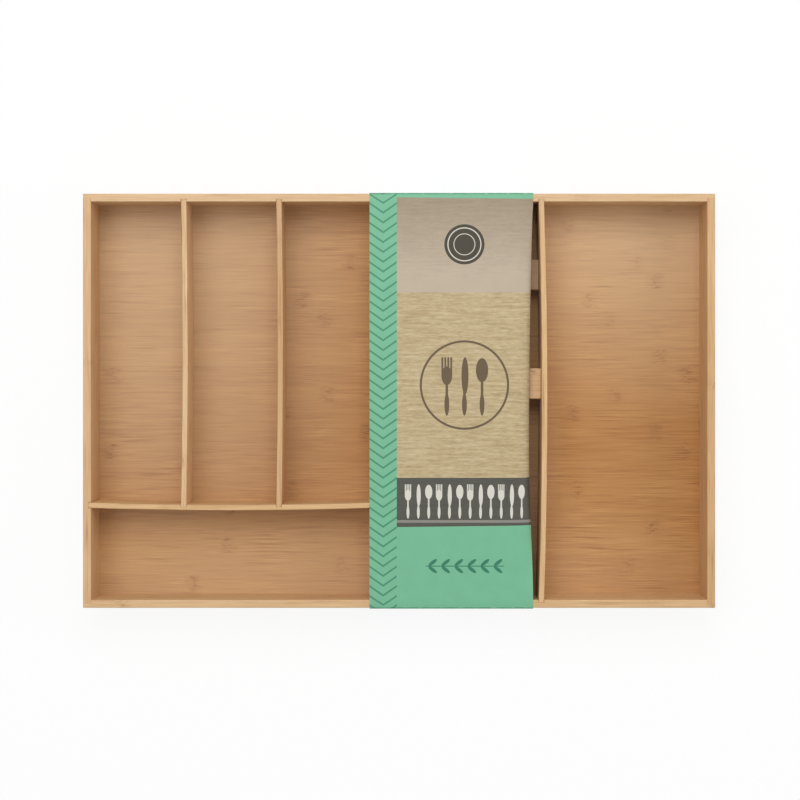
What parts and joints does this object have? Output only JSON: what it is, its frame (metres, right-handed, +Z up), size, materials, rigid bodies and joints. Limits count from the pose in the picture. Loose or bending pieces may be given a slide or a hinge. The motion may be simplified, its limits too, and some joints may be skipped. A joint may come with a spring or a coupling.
{
  "type": "cutlery tray",
  "caption": "Bamboo drawer tray with sprung dividers, slotted knife rests, a grooved-in base and a printed card sleeve that slides off sideways.",
  "frame": {"origin": "middle of the tray's outline, on the underside of the card sleeve that it stands on", "axes": "+X along the long walls to the right, +Y to the back wall, +Z up out of the bays"},
  "size_m": [0.58, 0.3828, 0.051],
  "materials": {
    "bamboo_board": "satin",
    "bamboo_slat": "satin",
    "bamboo_panel": "satin",
    "bamboo_rest": "satin",
    "printed_card": "matte"
  },
  "bodies": {
    "tray": {"front_wall": "bamboo_board", "back_wall": "bamboo_board", "left_wall": "bamboo_board", "right_wall": "bamboo_board", "left_divider": "bamboo_slat", "middle_divider": "bamboo_slat", "cross_divider": "bamboo_slat", "knife_divider": "bamboo_slat", "utensil_divider": "bamboo_slat", "rear_knife_rest": "bamboo_rest", "front_knife_rest": "bamboo_rest", "base_panel": "bamboo_panel"},
    "sleeve": {"card_sleeve": "printed_card"}
  },
  "joints": [
    {"name": "sleeve_slide", "type": "slide", "parent": "tray", "child": "sleeve", "axis": [1, 0, 0], "range_m": [-0.425, 0.33]}
  ]
}
